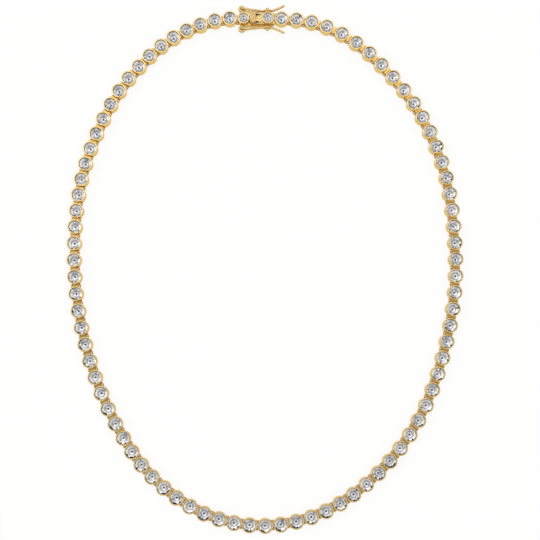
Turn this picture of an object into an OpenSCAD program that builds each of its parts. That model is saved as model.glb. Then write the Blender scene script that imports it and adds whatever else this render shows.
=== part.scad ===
// Riviere necklace: a closed row of round bezel-set stones lying flat on z = 0, joined by
// small wire loops, with a box clasp and two figure-eight safety catches. Millimetres.
// +X is to the right and +Y towards the clasp, and the origin is under the middle of the loop.

/* [Stones] */
// Number of settings in the chain, without the two on the clasp
links = 85; // [72:1:96]
// Diameter of a stone in the chain
stone_d = 4; // [3.6:0.1:4.6]
// Diameter of the two stones on the clasp
clasp_stone_d = 3.3; // [3:0.1:3.6]
// Width of the table as a share of the stone's diameter
table_share = 0.56; // [0.5:0.01:0.64]
// Height of the crown as a share of the stone's diameter
crown_share = 0.15; // [0.12:0.01:0.17]
// Depth of the pavilion as a share of the stone's diameter
pavilion_share = 0.43; // [0.4:0.01:0.45]

/* [Settings] */
// Metal beside the girdle of the stone
bezel_wall = 0.2; // [0.15:0.05:0.35]
// Clearance between a stone and its setting
seat_gap = 0.05; // [0.03:0.01:0.08]
// How far the lip reaches in over the stone
lip_cover = 0.1; // [0.06:0.02:0.16]
// Depth of the table below the top of the lip
table_sink = 0.1; // [0.05:0.05:0.3]
// Height of the culet above the foot of a chain setting
culet_rise = 0.18; // [0.15:0.01:0.4]
// Width of the ledge that carries the pavilion
ledge_w = 0.2; // [0.1:0.05:0.3]
// Height of the ledge
ledge_h = 0.25; // [0.15:0.05:0.4]
// Wall of the setting below the ledge
foot_wall = 0.25; // [0.2:0.05:0.35]
// Chamfer round the foot of a setting
foot_chamfer = 0.1; // [0.05:0.05:0.15]
// Rounding of the outer edge of the lip
lip_round = 0.15; // [0.1:0.05:0.2]

/* [Linking loops] */
// Wire of the round loop that joins two settings
loop_wire = 0.35; // [0.3:0.05:0.4]
// How far the middle of a loop lies beyond the wall of the setting that carries it
loop_out = 0.15; // [0.1:0.05:0.2]
// Clearance between a loop and what it passes through
loop_gap = 0.1; // [0.1:0.01:0.12]
// Metal under the slots that a loop passes through
foot_ring = 0.3; // [0.25:0.05:0.4]
// Width of the post that a loop holds
post_w = 1; // [0.8:0.1:1.2]
// Width of the lug that reaches over a loop to the next setting
lug_w = 1.6; // [1.3:0.1:1.8]
// Height of the lug
lug_h = 1; // [0.7:0.05:1.1]
// Smallest gap between two neighbouring settings
link_gap = 0.12; // [0.12:0.01:0.2]
// How much further apart two neighbours lie where the chain is pulled straight
link_play = 0.65; // [0.4:0.05:0.7]

/* [Clasp box] */
// Length of the box along the chain
box_l = 5.5; // [5:0.1:6.5]
// Width of the box
box_w = 3.6; // [3.4:0.1:4.4]
// Height of the box
box_h = 2.3; // [2.2:0.1:2.6]
// Wall of the box
box_wall = 0.35; // [0.3:0.05:0.4]
// Height of the lip of the setting on the box
box_bezel_top = 3.4; // [3.3:0.1:3.8]
// Diameter of the ball on each side of the box
stud_ball = 1.2; // [0.9:0.05:1.25]
// Diameter of the neck that carries a ball
stud_neck = 0.6; // [0.4:0.05:0.7]
// Distance from the side of the box to the middle of a ball
stud_out = 1.4; // [1.3:0.05:1.7]
// Distance from the mouth of the box to the two studs
stud_from_mouth = 3.45; // [3:0.05:4]

/* [Clasp tongue] */
// Height of the lip of the setting on the tongue
tongue_bezel_top = 3; // [2.9:0.1:3.4]
// Distance from the tongue's setting to the mouth of the box
tab_room = 2.1; // [2:0.1:2.6]
// Thickness of the folded leaf
leaf_t = 0.3; // [0.25:0.05:0.35]
// Clearance between the leaf and the box, above and below
leaf_gap = 0.15; // [0.1:0.05:0.2]
// Width of the leaf
leaf_w = 2.4; // [2:0.1:2.5]
// Length of the flange at the end of the box
flange_out = 0.7; // [0.4:0.05:0.8]
// Width of the flange at the end of the box
flange_w = 3.3; // [2.6:0.1:3.4]
// Width of the shoulders beside the tongue's setting
shoulder_w = 4.4; // [3.8:0.1:4.6]
// Width of the thumb tab
tab_w = 3.2; // [2.8:0.1:3.6]
// Height of the top of the thumb tab
tab_top = 4.2; // [3.1:0.1:4.4]
// Thickness of the thumb tab
tab_t = 0.5; // [0.4:0.05:0.6]
// Share of the height under the thumb tab that its rim leaves open
tab_open = 0.15; // [0.1:0.05:0.9]

/* [Safety catches] */
// Wire of the safety catches
catch_wire = 0.55; // [0.45:0.05:0.6]
// Height of a safety catch between the middles of its two strands
catch_h = 2; // [1.9:0.02:2.1]
// Half distance between the strands where they come closest
catch_waist = 0.32; // [0.3:0.02:0.4]
// Clearance under the lower strand
catch_lift = 0.08; // [0.05:0.01:0.2]
// Length of the tail beyond the stud
catch_tail = 4.9; // [4:0.1:6]
// How far the tip of the tail bends out
catch_flare = 1.55; // [1:0.05:2]
// Outer diameter of the knuckles that carry the catches
knuckle_d = 2.2; // [2:0.1:2.3]
// Height of the knuckles
knuckle_h = 1; // [0.8:0.05:1.1]
// Distance from the middle of the clasp to the middle of a knuckle
knuckle_out = 3.2; // [3.15:0.05:3.5]
// How far the knuckles lie behind the middle of the tongue's stone
knuckle_back = 0.5; // [0.3:0.05:0.7]
// Radial running clearance of a catch's pin in its knuckle
pin_gap = 0.1; // [0.05:0.01:0.1]

/* [Hidden] */

gold = [0.87, 0.69, 0.36];
crystal = [0.86, 0.9, 0.94];

// The line that the chain lies on, clockwise from the middle of the clasp. Only its shape
// counts: it is scaled to the length of the links and the clasp together.
route = [[-4.5, 78.38], [13, 77.33], [26.5, 71], [38, 60], [47, 47.4], [53.5, 31], [56.2, 13],
         [56.1, -7], [52, -27], [44.5, -45.5], [32.2, -61.2], [16.4, -72.3], [-1.5, -76.4],
         [-19.5, -72.8], [-35, -62], [-46, -46.4], [-54, -27.5], [-58.4, -7.5], [-59.1, 13],
         [-56.4, 32], [-49, 50.6], [-40.2, 63], [-30, 72], [-17.5, 77.5]];
route_steps = 12;

// How far the chain is pulled out: place along the chain, share of link_play
slack = [[0, 0], [0.02, 0.2], [0.035, 0.5], [0.05, 1], [0.11, 1], [0.14, 0.7], [0.25, 0.72],
         [0.36, 0.65], [0.43, 0.35], [0.48, 0.05], [0.53, 0], [0.58, 0.2], [0.63, 0.25],
         [0.68, 0.78], [0.74, 0.92], [0.79, 0.62], [0.82, 0.4], [0.88, 0.72], [0.93, 0.22],
         [0.97, 0.05], [1, 0.15]];

// Outline of a safety catch. Along: 0 at the knuckle, 1 at the stud, 2 at the tip.
// Then shares of the way out to the knuckle, of the tail's flare and of the full opening.
catch_rows = [[0, 1, 0, 1], [0.15, 0.85, 0, 1], [0.33, 0.4, 0, 0.9], [0.55, 0.08, 0, 0.6],
              [0.8, 0, 0, 0], [1, 0, 0, 1], [1.28, 0, 0.04, 0], [1.6, 0, 0.4, 0],
              [2, 0, 1, 0]];
catch_steps = 4;
catch_sides = 8;

// Sizes of the settings
bezel_r = stone_d / 2 + seat_gap + bezel_wall;
clasp_bezel_r = clasp_stone_d / 2 + seat_gap + bezel_wall;
bezel_h = culet_rise + stone_d * (pavilion_share + crown_share) + table_sink;
pavilion_slope = pavilion_share * 2;
crown_slope = crown_share * 2 / (1 - table_share);

// Places of the linking loops
loop_z = foot_ring + loop_gap + loop_wire / 2;
widest_pitch = 2 * bezel_r + link_gap + link_play;
post_inside = sqrt(pow(bezel_r - foot_wall, 2) - pow(post_w / 2, 2));
loop_at = bezel_r + loop_out;
loop_r = norm([widest_pitch - loop_at - post_inside, post_w / 2]) + loop_gap + loop_wire / 2;

// Places along the clasp, from the middle of the tongue's stone towards the box
tongue_to_link = clasp_bezel_r + bezel_r + link_gap;
throat_u = clasp_bezel_r + leaf_gap;
mouth_u = clasp_bezel_r + tab_room;
box_end_u = mouth_u + box_l;
box_stone_u = box_end_u - clasp_bezel_r;
stud_u = mouth_u + stud_from_mouth;
first_link_u = box_end_u + link_gap + bezel_r;
clasp_span = tongue_to_link + first_link_u;

// Heights and side places of the safety catches
catch_mid_z = catch_lift + catch_wire / 2 + catch_h / 2;
catch_side_v = box_w / 2 + loop_gap * 6 + catch_wire / 2;
pin_d = catch_wire + 0.06;
pin_half = catch_h / 2 - catch_wire * 0.65;
tip_u = stud_u + catch_tail;
tip_v = catch_side_v + catch_flare;

// Lengths of the chain and scale of its line
function pitch(j) = 2 * bezel_r + link_gap + link_play * lookup(j / (links - 1), slack);
places = [for (j = 0, s = clasp_span / 2; j < links; j = j + 1, s = s + pitch(j)) s];
loop_length = places[links - 1] + clasp_span / 2;

function spline(a, b, c, d, t) =
    0.5 * (2 * b + (c - a) * t + (2 * a - 5 * b + 4 * c - d) * t * t
           + (3 * b - a - 3 * c + d) * t * t * t);
function around(i) = route[(i + len(route)) % len(route)];
line = [for (i = [0 : len(route) - 1]) for (k = [0 : route_steps - 1])
        spline(around(i - 1), around(i), around(i + 1), around(i + 2), k / route_steps)];
line_n = len(line);
run = [for (i = 0, s = 0; i <= line_n;
            s = s + norm(line[(i + 1) % line_n] - line[i % line_n]), i = i + 1) s];
line_scale = loop_length / run[line_n];
line_x = [for (i = [0 : line_n]) [run[i], line[i % line_n][0]]];
line_y = [for (i = [0 : line_n]) [run[i], line[i % line_n][1]]];
function on_line(s) = line_scale * [lookup(s / line_scale, line_x), lookup(s / line_scale, line_y)];
raw = [for (s = places) on_line(s)];

// Direction of the clasp, and the shift that puts the origin under the middle of it all
span = raw[0] - raw[links - 1];
clasp_dir = span / norm(span);
clasp_out = [-clasp_dir[1], clasp_dir[0]];
clasp_raw = (raw[0] + raw[links - 1]) / 2 + clasp_dir * (tongue_to_link - first_link_u) / 2;
tip_raw = clasp_raw + clasp_dir * tip_u + clasp_out * (tip_v + catch_wire / 2);
xs = [for (p = raw) p[0]];
ys = [for (p = raw) p[1]];
middle = [(min(xs) + max(xs)) / 2,
          (min(ys) - bezel_r + max(max(ys) + bezel_r, tip_raw[1])) / 2];
centres = [for (p = raw) p - middle];
clasp_at = clasp_raw - middle;
clasp_angle = atan2(clasp_dir[1], clasp_dir[0]);
function clasp_point(u) = clasp_at + clasp_dir * u;
function heading(from, to) = atan2(to[1] - from[1], to[0] - from[0]);

// Round brilliant: octagonal table, stars, kites, halves and a pointed pavilion
module brilliant(d) {
    r = d / 2;
    table_r = r * table_share;
    crown = d * crown_share;
    star_r = (table_r + r) / 2 * 1.02;
    star_z = crown * 0.46;
    half_r = r * 0.3;
    ring8 = [for (i = [0 : 7]) 45 * i];
    ring16 = [for (i = [0 : 15]) 22.5 * i];
    points = concat(
        [for (a = ring8) [table_r * cos(a), table_r * sin(a), crown]],
        [for (a = ring8) [star_r * cos(a + 22.5), star_r * sin(a + 22.5), star_z]],
        [for (a = ring16) [r * cos(a), r * sin(a), 0]],
        [for (a = ring8) [half_r * cos(a + 22.5), half_r * sin(a + 22.5),
                          (half_r - r) * pavilion_slope * 0.98]],
        [[0, 0, -d * pavilion_share]]);
    star = 8;
    girdle = 16;
    lower = 32;
    culet = 40;
    faces = concat(
        [[for (i = [7 : -1 : 0]) i]],
        [for (i = [0 : 7]) [i, (i + 1) % 8, star + i]],
        [for (i = [0 : 7]) [i, star + i, girdle + 2 * i]],
        [for (i = [0 : 7]) [i, girdle + 2 * i, star + (i + 7) % 8]],
        [for (i = [0 : 7]) [star + i, girdle + 2 * i + 1, girdle + 2 * i]],
        [for (i = [0 : 7]) [star + i, girdle + (2 * i + 2) % 16, girdle + 2 * i + 1]],
        [for (i = [0 : 7]) [girdle + 2 * i, girdle + 2 * i + 1, lower + i]],
        [for (i = [0 : 7]) [girdle + 2 * i + 1, girdle + (2 * i + 2) % 16, lower + i]],
        [for (i = [0 : 7]) [lower + i, girdle + (2 * i + 2) % 16, lower + (i + 1) % 8]],
        [for (i = [0 : 7]) [lower + i, lower + (i + 1) % 8, culet]]);
    polyhedron(points, faces, convexity = 2);
}

// Height of the girdle of a stone whose lip is at top
function girdle_z(d, top) = top - table_sink - d * crown_share;

module placed_stone(d, top) {
    translate([0, 0, girdle_z(d, top)]) brilliant(d);
}

// Collet from z = low to z = top: rounded lip over the girdle, and a ledge under it
module collet(d, low, top) {
    inner = d / 2 + seat_gap;
    outer = inner + bezel_wall;
    open = d / 2 - lip_cover;
    waist = girdle_z(d, top);
    lip_low = waist + lip_cover * crown_slope + seat_gap;
    ledge_top = waist - seat_gap - ledge_w * pavilion_slope;
    rotate_extrude($fn = 48)
        polygon([[outer - foot_chamfer, low], [outer, low + foot_chamfer],
                 [outer, top - lip_round], [outer - lip_round * 0.3, top - lip_round * 0.3],
                 [outer - lip_round, top], [open + lip_round, top],
                 [open + lip_round * 0.3, top - lip_round], [open, lip_low],
                 [inner, waist + seat_gap], [inner, waist - seat_gap],
                 [inner - ledge_w, ledge_top], [inner - ledge_w, ledge_top - ledge_h],
                 [outer - foot_wall, ledge_top - ledge_h - ledge_w], [outer - foot_wall, low]]);
}

// Two slots low in the wall of a collet, one each side of the post, towards +X
module link_slots(outer) {
    slot_h = loop_wire + 2 * loop_gap;
    slot_w = loop_r + loop_wire / 2 + loop_gap - post_w / 2;
    for (side = [-1, 1])
        translate([outer * 0.4, side > 0 ? post_w / 2 : -post_w / 2 - slot_w,
                   loop_z - slot_h / 2])
            cube([outer, slot_w, slot_h]);
}

// Round loop of wire in a level plane, from -half to +half degrees about +X
module linking_loop(at, half = 180) {
    translate([at, 0, loop_z]) rotate([0, 0, -half])
        rotate_extrude(angle = 2 * half, $fn = 40)
            translate([loop_r, 0]) circle(d = loop_wire, $fn = 16);
}

// Lug above a loop: it ends in a hollow, in which the next setting can turn
module lug(reach, next_r) {
    low = loop_z + loop_wire / 2 + 2 * loop_gap;
    start = bezel_r - min(bezel_wall, foot_wall) * 0.9;
    difference() {
        translate([start, -lug_w / 2, low]) cube([reach - next_r * 0.9 - start, lug_w, lug_h]);
        translate([reach, 0, low - 1]) cylinder(r = next_r + loop_gap * 1.1, h = lug_h + 2, $fn = 48);
    }
}

module bezel_links() {
    color(gold)
        for (j = [0 : links - 1]) {
            here = centres[j];
            before = j == 0 ? clasp_point(box_end_u) : centres[j - 1];
            after = j == links - 1 ? clasp_point(0) : centres[j + 1];
            translate([here[0], here[1], 0]) {
                difference() {
                    collet(stone_d, 0, bezel_h);
                    rotate([0, 0, heading(here, before)]) link_slots(bezel_r);
                }
                rotate([0, 0, heading(here, after)]) {
                    linking_loop(loop_at);
                    lug(norm(after - here), j == links - 1 ? clasp_bezel_r : bezel_r);
                }
            }
        }
}

module stones() {
    color(crystal)
        for (j = [0 : links - 1])
            translate([centres[j][0], centres[j][1], 0])
                rotate([0, 0, 137 * j]) placed_stone(stone_d, bezel_h);
}

// Places its children in the clasp's own frame: +X from the tongue to the box
module on_clasp(u = 0) {
    spot = clasp_point(u);
    translate([spot[0], spot[1], 0]) rotate([0, 0, clasp_angle]) children();
}

module stud(side) {
    translate([stud_u, side * (box_w / 2 - box_wall / 2), catch_mid_z])
        rotate([-90 * side, 0, 0]) cylinder(d = stud_neck, h = stud_out, $fn = 20);
    translate([stud_u, side * (box_w / 2 + stud_out), catch_mid_z])
        sphere(d = stud_ball, $fn = 24);
}

// Flange at the end of the box: it ends in a hollow, in which the first setting can turn
module end_flange() {
    low = loop_z + loop_wire / 2 + 2 * loop_gap;
    difference() {
        on_clasp(box_end_u - box_wall / 2) translate([0, -flange_w / 2, low])
            cube([flange_out + box_wall / 2, flange_w, box_h - low]);
        translate([centres[0][0], centres[0][1], low - 1])
            cylinder(r = bezel_r + loop_gap * 1.1, h = box_h + 1, $fn = 48);
    }
}

// Box with an open throat before its lid, where the thumb tab stands
module clasp_box() {
    well = (box_h - girdle_z(clasp_stone_d, box_bezel_top)) / pavilion_slope
           + clasp_stone_d / 2 + 2 * loop_gap;
    color(gold) end_flange();
    color(gold) on_clasp() {
        difference() {
            translate([throat_u, -box_w / 2, 0]) cube([box_end_u - throat_u, box_w, box_h]);
            translate([throat_u - 1, box_wall - box_w / 2, box_wall])
                cube([box_end_u - throat_u + 1 - box_wall, box_w - 2 * box_wall,
                      box_h - 2 * box_wall]);
            translate([throat_u - 1, box_wall - box_w / 2, box_h / 2])
                cube([mouth_u - throat_u + 1, box_w - 2 * box_wall, box_h]);
            translate([box_stone_u, 0, box_h / 2]) cylinder(r = well, h = box_h, $fn = 40);
        }
        translate([box_stone_u, 0, 0]) collet(clasp_stone_d, box_h - box_wall / 2, box_bezel_top);
        for (side = [-1, 1]) stud(side);
        linking_loop(box_end_u + loop_out, acos(-(loop_out + box_wall / 2) / loop_r));
    }
}

module clasp_box_stone() {
    color(crystal) on_clasp(box_stone_u) placed_stone(clasp_stone_d, box_bezel_top);
}

// Side view of the folded leaf: out along the floor of the box, back under its lid, and up
module leaf() {
    low = box_wall + leaf_gap;
    high = box_h - box_wall - leaf_gap;
    start = clasp_bezel_r - foot_wall / 2;
    fold = box_end_u - 2 * box_wall;
    rise = mouth_u + 2 * leaf_t;
    back = clasp_bezel_r + tab_room / 2;
    slope = (high - low - 2 * leaf_t) / (fold - leaf_t - rise);
    tip = high - slope * (fold - rise);
    soft = leaf_t / 3;
    translate([0, leaf_w / 2, 0]) rotate([90, 0, 0]) linear_extrude(leaf_w)
        polygon([[start, low], [fold - soft, low], [fold, low + soft], [fold, tip - soft],
                 [fold - soft, tip], [rise, high], [back, high], [back, tab_top - tab_t / 2],
                 [back - leaf_t, tab_top - tab_t / 2], [back - leaf_t, high - leaf_t],
                 [rise, high - leaf_t], [fold - leaf_t, low + leaf_t], [start, low + leaf_t]]);
}

// Shoulders of the tongue, beside its round setting and before the throat of the box
module shoulders() {
    low = box_wall;
    difference() {
        translate([0, -shoulder_w / 2, low])
            cube([clasp_bezel_r, shoulder_w, catch_mid_z + knuckle_h / 2 - 0.15 - low]);
        cylinder(r = clasp_bezel_r - foot_wall / 2, h = box_h * 2, $fn = 48);
    }
}

// Thumb tab with a rim turned down all round it and two crossed ridges on top
module thumb_tab() {
    near = clasp_bezel_r + leaf_gap;
    far = mouth_u - leaf_gap;
    base_h = tab_t * 0.6;
    under = tab_top - tab_t;
    lowest = box_h + leaf_gap;
    rim_z = lowest + (under - lowest) * tab_open;
    difference() {
        translate([near, -tab_w / 2, rim_z]) cube([far - near, tab_w, under + base_h - rim_z]);
        translate([near + leaf_t, leaf_t - tab_w / 2, lowest - 1])
            cube([far - near - 2 * leaf_t, tab_w - 2 * leaf_t, under - lowest + 1]);
    }
    translate([(near + far) / 2, 0, tab_top - tab_t])
        for (side = [-1, 1]) rotate([0, 0, side * 60])
            translate([-tab_w * 0.45, -0.2, 0]) cube([tab_w * 0.9, 0.4, tab_t]);
}

module knuckle(side) {
    z = catch_mid_z - knuckle_h / 2;
    bridge = knuckle_out - clasp_bezel_r - knuckle_d / 2 + foot_wall + 0.3;
    difference() {
        union() {
            translate([-knuckle_back, side * knuckle_out, z])
                cylinder(d = knuckle_d, h = knuckle_h, $fn = 40);
            translate([-knuckle_back - 0.6,
                       side > 0 ? clasp_bezel_r - foot_wall : foot_wall - clasp_bezel_r - bridge,
                       z + 0.15])
                cube([1.2, bridge, knuckle_h - 0.3]);
        }
        translate([-knuckle_back, side * knuckle_out, z - 1])
            cylinder(d = pin_d + 2 * pin_gap, h = knuckle_h + 2, $fn = 32);
    }
}

module clasp_tongue() {
    color(gold) on_clasp() {
        difference() {
            collet(clasp_stone_d, 0, tongue_bezel_top);
            rotate([0, 0, 180]) link_slots(clasp_bezel_r);
        }
        leaf();
        shoulders();
        thumb_tab();
        for (side = [-1, 1]) knuckle(side);
    }
}

module clasp_tongue_stone() {
    color(crystal) on_clasp() placed_stone(clasp_stone_d, tongue_bezel_top);
}

// Middle line of one strand of a catch: place, distance out and height above the stud
function catch_u(a) = a <= 1 ? -knuckle_back + a * (stud_u + knuckle_back)
                             : stud_u + (a - 1) * catch_tail;
function catch_point(row) =
    [catch_u(row[0]),
     catch_side_v + (knuckle_out - catch_side_v) * row[1] + catch_flare * row[2],
     catch_waist + (catch_h / 2 - catch_waist) * row[3]];
function row_at(i) = catch_rows[max(0, min(len(catch_rows) - 1, i))];
strand = [for (i = [0 : len(catch_rows) - 2]) for (k = [0 : catch_steps - 1])
          catch_point(spline(row_at(i - 1), row_at(i), row_at(i + 1), row_at(i + 2),
                             k / catch_steps))];
corner = catch_h / 2 - pin_half;
tip_dir = let (d = catch_point(row_at(8)) - strand[len(strand) - 1]) [d[0], d[1], 0] / norm([d[0], d[1]]);
tip_end = catch_point(row_at(8)) + tip_dir * catch_wire / 2;
// Upper half of the closed wire, from the pin to the tip
upper = concat([[-knuckle_back, knuckle_out, 0], [-knuckle_back, knuckle_out, pin_half],
                [-knuckle_back + corner * 0.3, knuckle_out, pin_half + corner * 0.7]],
               [for (i = [1 : len(strand) - 1]) strand[i]],
               [catch_point(row_at(8)), [tip_end[0], tip_end[1], catch_waist / 2]]);
wire_path = concat(upper, [for (i = [len(upper) - 1 : -1 : 1]) [upper[i][0], upper[i][1], -upper[i][2]]]);

// Round wire along a closed path that stays near an upright surface
module closed_wire(path, d, sides) {
    n = len(path);
    function ahead(i) = let (t = path[(i + 1) % n] - path[(i + n - 1) % n]) t / norm(t);
    function flat_side(i) =
        let (a = max(0, min(len(upper) - 1, i < len(upper) ? i : n - i)),
             b = upper[min(a + 1, len(upper) - 1)] - upper[max(a - 1, 0)],
             h = norm([b[0], b[1]]))
        h < 0.01 ? [0, 1, 0] : [-b[1] / h, b[0] / h, 0];
    points = [for (i = [0 : n - 1]) let (t = ahead(i), s0 = flat_side(i),
                                         s = (s0 - t * (s0 * t)) / norm(s0 - t * (s0 * t)),
                                         w = cross(t, s))
              for (k = [0 : sides - 1]) let (a = 360 * (k + 0.5) / sides)
              path[i] + (s * cos(a) + w * sin(a)) * d / 2];
    faces = [for (i = [0 : n - 1]) for (k = [0 : sides - 1])
             let (i2 = (i + 1) % n, k2 = (k + 1) % sides)
             [i * sides + k, i * sides + k2, i2 * sides + k2, i2 * sides + k]];
    polyhedron(points, [for (f = faces) [f[3], f[2], f[1], f[0]]], convexity = 6);
}

module safety_catch(side) {
    color(gold) on_clasp() mirror([0, side > 0 ? 0 : 1, 0]) translate([0, 0, catch_mid_z]) {
        closed_wire(wire_path, catch_wire, catch_sides);
        translate([-knuckle_back, knuckle_out, -pin_half])
            cylinder(d = pin_d, h = 2 * pin_half, $fn = 32);
    }
}

module safety_catch_outer() { safety_catch(1); }
module safety_catch_inner() { safety_catch(-1); }

bezel_links();
stones();
clasp_box();
clasp_box_stone();
clasp_tongue();
clasp_tongue_stone();
safety_catch_outer();
safety_catch_inner();
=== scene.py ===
import math

import bpy
import numpy as np
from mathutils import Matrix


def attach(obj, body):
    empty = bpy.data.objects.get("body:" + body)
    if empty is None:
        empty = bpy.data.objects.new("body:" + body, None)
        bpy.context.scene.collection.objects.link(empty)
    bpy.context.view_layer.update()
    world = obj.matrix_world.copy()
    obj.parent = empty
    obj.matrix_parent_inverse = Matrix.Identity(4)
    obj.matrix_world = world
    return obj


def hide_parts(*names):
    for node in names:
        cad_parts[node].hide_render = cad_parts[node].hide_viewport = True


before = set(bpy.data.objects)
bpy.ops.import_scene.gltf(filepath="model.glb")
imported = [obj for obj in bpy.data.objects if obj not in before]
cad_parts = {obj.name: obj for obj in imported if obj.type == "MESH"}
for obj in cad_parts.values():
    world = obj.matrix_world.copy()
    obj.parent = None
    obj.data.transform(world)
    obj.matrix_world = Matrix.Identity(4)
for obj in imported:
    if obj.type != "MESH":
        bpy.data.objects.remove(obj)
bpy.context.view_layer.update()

mm = 0.001
print("frame loaded:", len(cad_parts), "nodes")


# Camera, floor and light

viewSet = {"lens": 74.5, "place": (-6.1, -43.0, 338.5), "turn": (0.1197, -0.0222, 0.0006)}

cameraData = bpy.data.cameras.new("camera")
cameraData.lens = viewSet["lens"]
cameraData.sensor_width = 36
cameraData.clip_start = 0.01
cameraData.clip_end = 20
camera = bpy.data.objects.new("camera", cameraData)
camera.location = [value * mm for value in viewSet["place"]]
camera.rotation_euler = viewSet["turn"]
bpy.context.scene.collection.objects.link(camera)
bpy.context.scene.camera = camera
bpy.context.scene.view_settings.view_transform = "Standard"


class Wire:
    # an output socket that takes part in plain expressions; each operator adds one Math node
    def __init__(self, graph, socket):
        self.graph = graph
        self.socket = socket

    def maths(self, operation, *values):
        return self.graph.add("ShaderNodeMath", {"operation": operation}, dict(enumerate(values)))

    def __add__(self, other):
        return self.maths("ADD", self, other)

    def __radd__(self, other):
        return self.maths("ADD", other, self)

    def __sub__(self, other):
        return self.maths("SUBTRACT", self, other)

    def __rsub__(self, other):
        return self.maths("SUBTRACT", other, self)

    def __mul__(self, other):
        return self.maths("MULTIPLY", self, other)

    def __rmul__(self, other):
        return self.maths("MULTIPLY", other, self)


class Graph:
    # the nodes of one material
    def __init__(self, name):
        self.material = bpy.data.materials.new(name)
        self.material.use_nodes = True
        self.tree = self.material.node_tree
        self.tree.nodes.clear()

    def add(self, kind, settings=None, values=None, out=0):
        # one node: its type, its settings, the values or wires of its inputs, and the output wanted
        node = self.tree.nodes.new(kind)
        for key, value in (settings or {}).items():
            if key == "stops":
                ramp = node.color_ramp.elements
                while len(ramp) < len(value):
                    ramp.new(0.5)
                for element, (place, colour) in zip(ramp, value):
                    element.position = place
                    element.color = (*colour, 1)
            else:
                setattr(node, key, value)
        for key, value in (values or {}).items():
            if isinstance(value, Wire):
                self.tree.links.new(value.socket, node.inputs[key])
            else:
                node.inputs[key].default_value = value
        return Wire(self, node.outputs[out])

    def mix(self, share, first, second):
        # colour mix; the colour sockets of a Mix node are its inputs 6 and 7, and output 2
        return self.add("ShaderNodeMix", {"data_type": "RGBA"}, {0: share, 6: first, 7: second}, out=2)

    def finish(self, shader):
        end = self.tree.nodes.new("ShaderNodeOutputMaterial")
        self.tree.links.new(shader.socket, end.inputs["Surface"])
        return self.material


def rgb(red, green, blue):
    return (red, green, blue, 1.0)


def areaLight(name, place, aim, size, power):
    data = bpy.data.lights.new(name, "AREA")
    data.shape = "RECTANGLE"
    data.size, data.size_y = size
    data.energy = power
    light = bpy.data.objects.new(name, data)
    light.location = place
    away = np.array(place) - np.array(aim)
    flat = math.hypot(away[0], away[1])
    light.rotation_euler = (math.atan2(flat, away[2]), 0, math.atan2(away[0], -away[1]))
    bpy.context.scene.collection.objects.link(light)


# each light: where its middle is, its sides in metres and how bright it looks against white
lightSet = {
    "sky": [(0.0, 0.55), (0.3, 0.35), (0.5, 0.5), (0.66, 0.95), (0.955, 0.95), (0.99, 0.61)],
    "over": {"place": (-0.1, 0.3, 0.8), "size": (0.6, 0.3), "look": 1.0},
    "left": {"place": (-0.8, 0.15, 0.45), "size": (0.45, 0.6), "look": 1.2},
    "right": {"place": (0.8, -0.2, 0.4), "size": (0.3, 0.5), "look": 0.9},
}

world = bpy.data.worlds.new("studio")
bpy.context.scene.world = world
world.use_nodes = True
skyNodes = world.node_tree.nodes
skyWay = skyNodes.new("ShaderNodeTexCoord")
skyParts = skyNodes.new("ShaderNodeSeparateXYZ")
skyRamp = skyNodes.new("ShaderNodeValToRGB")
world.node_tree.links.new(skyWay.outputs["Generated"], skyParts.inputs[0])
world.node_tree.links.new(skyParts.outputs["Z"], skyRamp.inputs["Fac"])
world.node_tree.links.new(skyRamp.outputs["Color"], skyNodes["Background"].inputs["Color"])
while len(skyRamp.color_ramp.elements) < len(lightSet["sky"]):
    skyRamp.color_ramp.elements.new(0.5)
for element, (height, bright) in zip(skyRamp.color_ramp.elements, lightSet["sky"]):
    element.position = height
    element.color = rgb(bright, bright * 0.99, bright * 0.975)
for lightName in ("over", "left", "right"):
    one = lightSet[lightName]
    power = one["look"] * math.pi * one["size"][0] * one["size"][1]
    areaLight("light_" + lightName, one["place"], (0, 0, 0), one["size"], power)


def floorMaterial():
    g = Graph("pale_floor")
    grain = g.add("ShaderNodeTexNoise", None, {"Scale": 60.0, "Detail": 3.0})
    tone = g.mix(grain, rgb(0.14, 0.14, 0.14), rgb(0.16, 0.16, 0.16))
    return g.finish(g.add("ShaderNodeBsdfPrincipled", None, {
        "Base Color": tone, "Roughness": 0.9, "Specular IOR Level": 0.1,
        "Emission Color": rgb(1, 1, 1), "Emission Strength": 0.86}))


floorMesh = bpy.data.meshes.new("floor")
floorMesh.from_pydata([(-3, -3, 0), (3, -3, 0), (3, 3, 0), (-3, 3, 0)], [], [(0, 1, 2, 3)])
floorMesh.materials.append(floorMaterial())
floor = bpy.data.objects.new("floor", floorMesh)
floor.location = (0, 0, -0.00002)
bpy.context.scene.collection.objects.link(floor)
print("camera, floor and light ready")


# Materials

def goldMaterial(name, light, deep, rough, grain, bump):
    # two golds mixed by slow noise, then browner where the shade attribute is high, which is painted
    # shade, with a fine grain in the roughness and the bump
    g = Graph(name)
    place = g.add("ShaderNodeTexCoord", out="Object")
    slow = g.add("ShaderNodeTexNoise", None, {"Vector": place, "Scale": 260.0, "Detail": 2.0})
    fine = g.add("ShaderNodeTexNoise", None, {"Vector": place, "Scale": grain, "Detail": 3.0})
    shade = g.add("ShaderNodeAttribute", {"attribute_name": "shade"}, out="Fac")
    warm = g.mix(slow, rgb(*light), rgb(*[a * 0.93 for a in light]))
    colour = g.mix(shade, warm, rgb(*deep))
    relief = g.add("ShaderNodeBump", None, {"Strength": bump, "Distance": 0.00002, "Height": fine})
    return g.finish(g.add("ShaderNodeBsdfPrincipled", None, {
        "Base Color": colour, "Metallic": 1.0, "Roughness": rough + (fine - 0.5) * 0.12,
        "Specular Tint": rgb(0.95, 0.8, 0.5), "Normal": relief}))


# the second colour of each gold, the deep one, is its painted shade colour
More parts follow.
